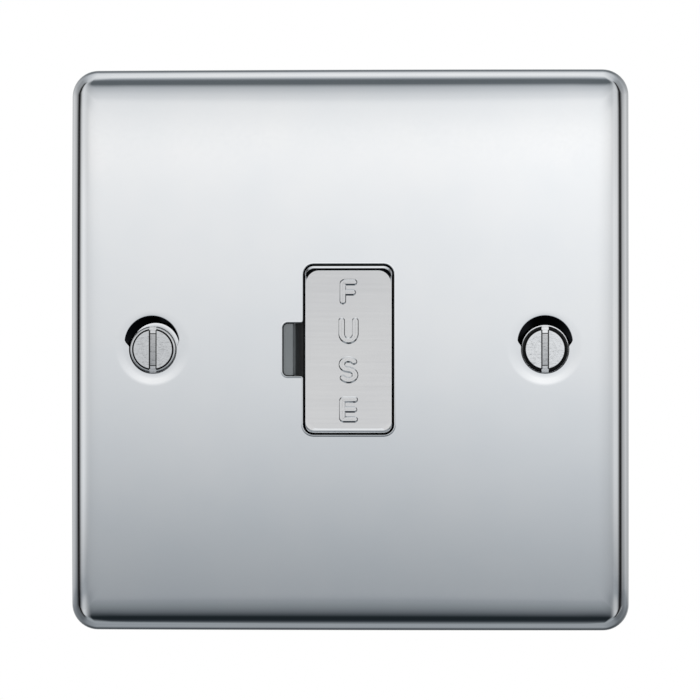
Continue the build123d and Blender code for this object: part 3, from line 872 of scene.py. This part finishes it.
def stroke_ring(path, reach):
    """A ring round a line with round ends; reach gives its distance in each direction."""
    ways = [(b - a).normalized() for a, b in zip(path, path[1:])]
    ways = [ways[0]] + [(a + b).normalized() for a, b in zip(ways, ways[1:])] + [ways[-1]]
    sides = [(p, Vector((w.y, -w.x))) for p, w in zip(path, ways)]
    ring = list(sides)
    for way, end in ((ways[-1], path[-1]), (-ways[0], path[0])):
        first = math.atan2(way.y, way.x) - math.pi / 2
        ring += [(end, Vector((math.cos(first + a), math.sin(first + a))))
                 for a in np.linspace(0, math.pi, 11)[1:-1]]
        if end is path[-1]:
            ring += [(p, -out) for p, out in reversed(sides)]
    return np.array([p + out * reach(out) for p, out in ring])


def slope_run(out):
    """How wide a letter's slope is in one direction."""
    return SLOPE + (BROW if out.y > 0 else DRAFT) * abs(out.y)


print("slope in mm on top, at the sides and below:", round(SLOPE + BROW, 2), SLOPE,
      round(SLOPE + DRAFT, 2))

# %% [markdown]
# Each letter has the height of its middle on the cap and its strokes, in millimetres about that middle.
# A second stroke is a little lower than the first, so that their tops don't lie in one plane and
# flicker.

# %% The letters
BURIED, CREST, SECOND_TOP, MIDDLE = -0.4, 0.09, 0.96, 0.01
bowl = arc(0, -0.48, 1.05, 1.08, math.pi, 2 * math.pi)
spine = arc(0, 0.8, 1.02, 0.8, 0.6, 4.5)[:-1] + arc(0, -0.8, 1.02, 0.8, 1.36, -2.55)
letters = {
    "F": (8.85, [bend([(-0.87, -1.46), (-0.87, 1.46), (0.86, 1.46)], 0.3),
                 bend([(-0.8, -0.1), (0.65, -0.1)], 0)]),
    "U": (2.87, [[Vector((-1.05, 1.55))] + bowl + [Vector((1.05, 1.55))]]),
    "S": (-3.13, [spine]),
    "E": (-9.22, [bend([(0.95, 1.52), (-0.95, 1.52), (-0.95, -1.52), (0.95, -1.52)], 0.25),
                  bend([(-0.85, 0.0), (0.85, 0.0)], 0)]),
}


def letter_ring(path, height, reach, up):
    """A ring of a stroke, set at its letter's height and raised from the cap's face."""
    ring = stroke_ring(path, reach) + np.array((0, height))
    return lift(ring, lambda x, z: CAP_FACE + hollow(z) - RAISED * up)


word = Sheet()
for height, strokes in letters.values():
    for path in strokes:
        top = 1.0 if path is strokes[0] else SECOND_TOP
        slope = [letter_ring(path, height, lambda out: STROKE - along * slope_run(out), up * top)
                 for along, up in ((BURIED, BURIED), (1 - CREST, 1 - CREST), (1.0, 1.0), (1 + CREST, 1.0))]
        word.rings(slope)
        word.rings([slope[-1], letter_ring(path, height, lambda out: MIDDLE, top)], SATIN)
word.piece("raised_word", [chrome, satin], "polished_chrome", "fuse_carrier")

# %% [markdown]
# ## The fixing screws
# A fixing screw is a turned part with a sawn slot. It could be spun from its outline, but pulls from a
# filled circle keep its points in even rings. They give the rounded shoulder, the groove, the rim, the
# shank and a run of shallow rings for the thread.

# %% The turned screw
HEAD_R, FACE_R, SHOULDER = 3.58, 2.95, 0.25
RIM_STEPS = [(3.2, 0.30), (3.22, 0.32), (3.42, 0.32), (3.53, 0.37), (HEAD_R, 0.48)]
SHANK_R, THREAD_R, THREAD_START, PITCH, TURNS = 1.52, 1.75, -2.0, 0.6, 46
THREAD_STEPS = [(SHANK_R, 0.1), (THREAD_R, 0.3), (THREAD_R, 0.36)]
FACE_EASE, HEAD_GAP, TIP, TIP_R = 0.06, 0.1, 26.26, 1.4
head_back = seat_depth - HEAD_GAP
profile = [(FACE_R - FACE_EASE, 0.0), (FACE_R, 0.0)]
profile += [(FACE_R + SHOULDER * math.sin(a), SHOULDER * (1 - math.cos(a)))
            for a in np.linspace(0, math.pi / 2, 6)[1:]]
profile = [(r, HEAD_TOP + down) for r, down in profile + RIM_STEPS]
profile += [(HEAD_R, head_back), (SHANK_R, head_back), (SHANK_R, THREAD_START)]
for k in range(TURNS):
    profile += [(r, THREAD_START + PITCH * k + further) for r, further in THREAD_STEPS]
profile.append((TIP_R, TIP))

screw = begin("fixing_left", bpy.ops.mesh.primitive_circle_add, vertices=64,
              radius=profile[0][0] * MM, fill_type="NGON",
              location=(-FIXING_X * MM, HEAD_TOP * MM, 0), rotation=(math.pi / 2, 0, 0))
bpy.ops.mesh.select_all(action="SELECT")
for (old_r, old_y), (r, y) in zip(profile, profile[1:]):
    pull(y - old_y, r / old_r, r / old_r, -FIXING_X)
close(screw, [turned])
print("pulls in the screw:", len(profile) - 1)

# %% [markdown]
# The slot is cut as a saw would cut it. A block stands for the saw, and its bottom falls away at both
# ends, because the slot is deeper where it runs out at the rim. A boolean takes it out of the head.

# %% The saw and the slot
SLOT_HALF, SLOT_DEEP, SLOT_FLAT, SLOT_FALL = 0.52, 0.36, 2.45, 0.14
SAW_OVER, SAW_LONG, SAW_ENDS = 0.32, 10, 4
saw = begin("saw", bpy.ops.mesh.primitive_cube_add, size=1,
            location=(-FIXING_X * MM, (HEAD_TOP - SAW_OVER) * MM, 0),
            scale=(2 * SLOT_HALF * MM, 2 * (SLOT_DEEP + SAW_OVER) * MM, SAW_LONG * MM))
for z in (-SLOT_FLAT, SLOT_FLAT):
    bpy.ops.mesh.select_all(action="SELECT")
    bpy.ops.mesh.bisect(plane_co=(0, 0, z * MM), plane_no=(0, 0, 1))
pick(saw, lambda p: p.y > HEAD_TOP and abs(p.z) > SAW_ENDS)
bpy.ops.transform.translate(value=(0, SLOT_FALL * MM, 0))
close(saw, [turned])
bpy.ops.object.select_all(action="DESELECT")
screw.select_set(True)
bpy.context.view_layer.objects.active = screw
bpy.ops.object.modifier_add(type="BOOLEAN")
slot = screw.modifiers[-1]
slot.object, slot.operation, slot.solver = saw, "DIFFERENCE", "EXACT"
bpy.ops.object.modifier_apply(modifier=slot.name)
bpy.data.objects.remove(saw)
bpy.ops.object.shade_smooth_by_angle(angle=math.radians(35))
print("screw faces:", len(screw.data.polygons))

# %% [markdown]
# The screw is modelled once. Its twin is a copy with its own mesh, moved across, and the move goes
# into the mesh so that the twin's object stays at the origin.

# %% The twin
bpy.ops.object.duplicate(linked=False)
twin = bpy.context.object
twin.name = twin.data.name = "fixing_right"
bpy.ops.transform.translate(value=(2 * FIXING_X * MM, 0, 0))
bpy.ops.object.transform_apply(location=True, rotation=False, scale=False)
settle(screw, "left_fixing", "fixing_screw_left")
settle(twin, "right_fixing", "fixing_screw_right")

# %% [markdown]
# ## The floor
# A sheet of pale paper lies below the unit. It stays just out of the front camera's view, so that the
# white ground there is plain. It is seen only from above: from below it is clear, so that the underside
# of the unit can be looked at. Mirrors don't see it, because the drawn studio has a floor of its own.

# %% Paper on the floor
FLOOR_SIZE, FLOOR_FORWARD, FLOOR_DROP, MOTTLE_SIZE = 7.6, -1.4, -0.25, 25
bpy.ops.mesh.primitive_plane_add(size=FLOOR_SIZE, location=(0, FLOOR_FORWARD, FLOOR_DROP))
ground = bpy.context.object
ground.name = "floor"
paper, tree, out = blank("pale_paper")
spot = add(tree, "TexCoord").outputs["Object"]
mottle = add(tree, "TexNoise", {"Vector": spot, "Scale": 1 / (MOTTLE_SIZE * MM), "Detail": 2.0})
tone = add(tree, "ValToRGB", {"Fac": mottle},
           stops=[(0.3, linear("#f8f8f7")), (0.7, linear("#fafaf9"))])
sheet = add(tree, "BsdfPrincipled", {"Base Color": tone, "Roughness": 0.9})
under = add(tree, "NewGeometry").outputs["Backfacing"]
one_sided = add(tree, "MixShader", {0: under, 1: sheet, 2: add(tree, "BsdfTransparent")})
tree.links.new(one_sided.outputs["Shader"], out.inputs["Surface"])
ground.data.materials.append(paper)
ground.visible_glossy = False
print("floor in m:", FLOOR_SIZE, "square, at", FLOOR_DROP)

# %% [markdown]
# ## The studio
# Chrome only looks like chrome when there is something to mirror. Real lamps and cards could be set up
# round the unit, but they would light it too. So the studio is drawn in the world, for mirror rays
# alone: a bright wall ahead, a floor that darkens towards the unit, a soft box overhead, and dark flags
# that draw the thin lines along the rim. Each pair below is an angle in degrees and the grey, from 0 to
# 255, of what stands there. They were matched to the photograph: each place across the plate and its rim
# mirrors one direction, so the tone seen there tells what stood in that direction.

# %% Greys up and down the room
ahead = [(-90, 150), (-76, 103), (-69, 64),                 # the near floor
         (-62, 42), (-55, 33), (-45, 33), (-41, 43),        # a black flag that lies on it
         (-33, 78), (-22, 110), (-13, 131), (-8.5, 144),    # the floor, lighter with distance
         (-5.5, 173), (-2.5, 199), (0, 215), (5.5, 235),    # the far wall
         (7.5, 245), (8.5, 230), (10, 214),                 # a long lamp at its top
         (18, 194), (27, 176),                              # the ceiling
         (39, 97), (53, 95), (61, 116),                     # a grey flag that hangs from it
         (67, 153), (75, 198), (90, 233)]                   # the soft box overhead
behind = [(-90, 150), (-70, 151), (-60, 136),               # the floor behind the unit
          (-47, 80), (-31, 105),                            # a dark flag on it
          (0, 228), (33, 143), (49, 120),                   # the rear wall and the ceiling
          (61, 186), (72, 220), (90, 233)]                  # the soft box overhead
front_sides = [(-90, 150), (-48, 147), (-40, 165),          # the floor at both sides
               (-32, 200), (-16, 208), (-10, 190),          # a white board that lies there
               (-7.5, 160), (-6, 157), (-4.5, 203),         # a grey skirting
               (-3, 223), (0, 231), (5, 235), (6.5, 225),   # the side walls
               (13, 216), (38, 200), (48, 183),             # the ceiling
               (60, 190), (90, 233)]                        # the soft box overhead
rear_sides = [(-90, 150), (-44, 122), (-24, 130),           # the floor at both sides, further back
              (-12, 142), (-5, 155),
              (-2.5, 209), (0, 226), (6, 226),              # the side walls
              (12, 207), (24, 184), (40, 176), (52, 176),   # the ceiling
              (65, 195), (90, 233)]                         # the soft box overhead
print("stops up and down:", sum(len(r) for r in (ahead, behind, front_sides, rear_sides)))

# %% Greys round the room
beside = [(-180, 190), (-149, 188), (-132, 203), (-119, 200),  # behind, on the left
          (-99, 173), (-91, 120), (-83, 20), (-75, 22),        # a black flag on the left
          (-68, 137), (-61, 199), (-50, 223),                  # its edge and a white card
          (-34, 206), (-19, 218), (0, 228), (5, 234),          # the far wall
          (11, 226), (31, 206), (38, 215),                     # another card
          (52, 206), (59, 158), (66, 52), (73, 4),             # a black flag on the right
          (80, 92), (88, 166), (96, 182),                      # its edge
          (115, 206), (127, 188), (141, 181), (180, 190)]      # behind, on the right
COOLEST, COOL_RATE, FAR_WALL = 5, 21, "#e4e4e4"


def room_grey(level):
    """A grey of the room, a little cooler where it is darker."""
    cool = min(COOLEST, (255 - level) / COOL_RATE)
    return linear("#" + "".join("%02x" % round(level + cool * k) for k in (-1, 0.1, 1)))


def side_share(level):
    """How bright a place beside the unit is, compared with the far wall."""
    return [linear("#" + "%02x" % level * 3)[0] / linear(FAR_WALL)[0]] * 3 + [1]


print("stops round the room:", len(beside))

# %% [markdown]
# A mirror ray has a direction. Its height picks a grey from the four lists above, and they are mixed by
# how far to the side and how far to the rear it points. Its turn picks the share of the flags, which
# fade out overhead, where a turn means little.

# %% The studio's directions
ASIDE_FROM, ASIDE_TO, REAR_EDGE, LEVEL_FROM, LEVEL_TO = 0.375, 0.72, 0.03, 0.30, 0.55
world = bpy.data.worlds.new("studio")
bpy.context.scene.world = world
world.use_nodes = True
tree = world.node_tree
tree.nodes.clear()
way = add(tree, "TexCoord").outputs["Generated"]
x, y, z = add(tree, "SeparateXYZ", {"Vector": way}).outputs
rise = add(tree, "Math", {0: z}, operation="ARCSINE")
height = add(tree, "Math", {0: rise, 1: 1 / math.pi, 2: 0.5}, operation="MULTIPLY_ADD")
forward = add(tree, "Math", {0: y, 1: -1.0}, operation="MULTIPLY")
angle = add(tree, "Math", {0: x, 1: forward}, operation="ARCTAN2")
turn = add(tree, "Math", {0: angle, 1: 0.5 / math.pi, 2: 0.5}, operation="MULTIPLY_ADD")
steep = add(tree, "Math", {0: z, 1: 2.0}, operation="POWER")
level = add(tree, "Math", {0: 1.0, 1: steep}, operation="SUBTRACT")
flat_reach = add(tree, "Math", {0: level, 1: 0.0001}, operation="MAXIMUM")
flat_reach = add(tree, "Math", {0: flat_reach}, operation="SQRT")
sideways = add(tree, "Math", {0: x}, operation="ABSOLUTE")
spread = add(tree, "Math", {0: sideways, 1: flat_reach}, operation="DIVIDE")
aside = add(tree, "MapRange", {"Value": spread, "From Min": ASIDE_FROM, "From Max": ASIDE_TO},
            interpolation_type="SMOOTHSTEP")
rear = add(tree, "MapRange", {"Value": y, "From Min": -REAR_EDGE, "From Max": REAR_EDGE})
near_level = add(tree, "MapRange", {"Value": level, "From Min": LEVEL_FROM, "From Max": LEVEL_TO})
print("direction nodes:", len(tree.nodes))

# %% The studio's light
MIRROR_LIGHT, SOFT_LIGHT = 1.16, 0.72
walls = [add(tree, "ValToRGB", {"Fac": height},
             stops=[((degrees + 90) / 180, room_grey(grade)) for degrees, grade in stops])
         for stops in (ahead, front_sides, behind, rear_sides)]
flags = add(tree, "ValToRGB", {"Fac": turn},
            stops=[((degrees + 180) / 360, side_share(grade)) for degrees, grade in beside])
front_light = add(tree, "Mix", {0: aside, 6: walls[0], 7: walls[1]}, data_type="RGBA").outputs[2]
rear_light = add(tree, "Mix", {0: aside, 6: walls[2], 7: walls[3]}, data_type="RGBA").outputs[2]
room = add(tree, "Mix", {0: rear, 6: front_light, 7: rear_light}, data_type="RGBA").outputs[2]
flags = add(tree, "Mix", {0: near_level, 6: (1, 1, 1, 1), 7: flags}, data_type="RGBA").outputs[2]
studio = add(tree, "Mix", {0: 1.0, 6: room, 7: flags}, data_type="RGBA",
             blend_type="MULTIPLY").outputs[2]
mirror = add(tree, "Background", {"Color": studio, "Strength": MIRROR_LIGHT})
print("studio nodes:", len(tree.nodes))

# %% [markdown]
# For the eye the world is plain white, and for soft light it is a little dimmer, so that colours come
# out about as they are written. Two large, weak lamps add a direction to the light on the mouldings.
# Mirrors don't see the lamps, because the studio has its own.

# %% Soft light and lamps
rays = add(tree, "LightPath").outputs
strength = add(tree, "MapRange", {"Value": rays["Is Camera Ray"], "To Min": SOFT_LIGHT, "To Max": 1.0})
plain = add(tree, "Background", {"Color": (1, 1, 1, 1), "Strength": strength})
shiny = add(tree, "Math", {0: rays["Is Glossy Ray"], 1: rays["Is Transmission Ray"]},
            operation="MAXIMUM")
add(tree, "OutputWorld", {"Surface": add(tree, "MixShader", {0: shiny, 1: plain, 2: mirror})})

LAMP_SIZE = 0.7
for name, place, power in (("key_lamp", (-0.5, -0.7, 0.8), 2.4), ("back_lamp", (0.6, 0.8, 0.7), 2.0)):
    light = bpy.data.lights.new(name, "AREA")
    light.shape, light.size, light.energy = "DISK", LAMP_SIZE, power
    lamp = bpy.data.objects.new(name, light)
    lamp.location = place
    lamp.rotation_mode = "QUATERNION"
    lamp.rotation_quaternion = (-Vector(place)).to_track_quat("-Z", "Y")
    lamp.visible_glossy = False
    bpy.context.scene.collection.objects.link(lamp)
    print(name, "in W:", power)

# %% [markdown]
# ## The camera
# A long lens stands far back, a touch to the right and a touch low, as the thin walls beside the cap
# and the screws show. Its focal length follows from the scale of the picture, in pixels for each
# millimetre of the plate.

# %% Camera
PX_PER_MM, IMAGE, SENSOR, DISTANCE = 6.48, 700, 36, 0.72
RIGHT, LOW, AIM = math.radians(2.4), math.radians(-0.7), (0.06, -1.4, -0.04)
lens = bpy.data.cameras.new("camera")
camera = bpy.data.objects.new("camera", lens)
bpy.context.scene.collection.objects.link(camera)
bpy.context.scene.camera = camera
outward = Vector((math.sin(RIGHT) * math.cos(LOW), -math.cos(RIGHT) * math.cos(LOW), math.sin(LOW)))
camera.location = Vector(AIM) * MM + outward * DISTANCE
camera.rotation_mode = "QUATERNION"
camera.rotation_quaternion = (-outward).to_track_quat("-Z", "Y")
lens.sensor_width = SENSOR
lens.lens = PX_PER_MM * SENSOR / IMAGE * (DISTANCE / MM)
lens.clip_start, lens.clip_end = 0.01, 50
bpy.context.scene.view_settings.view_transform = "Standard"
print("focal length in mm:", round(lens.lens, 1))
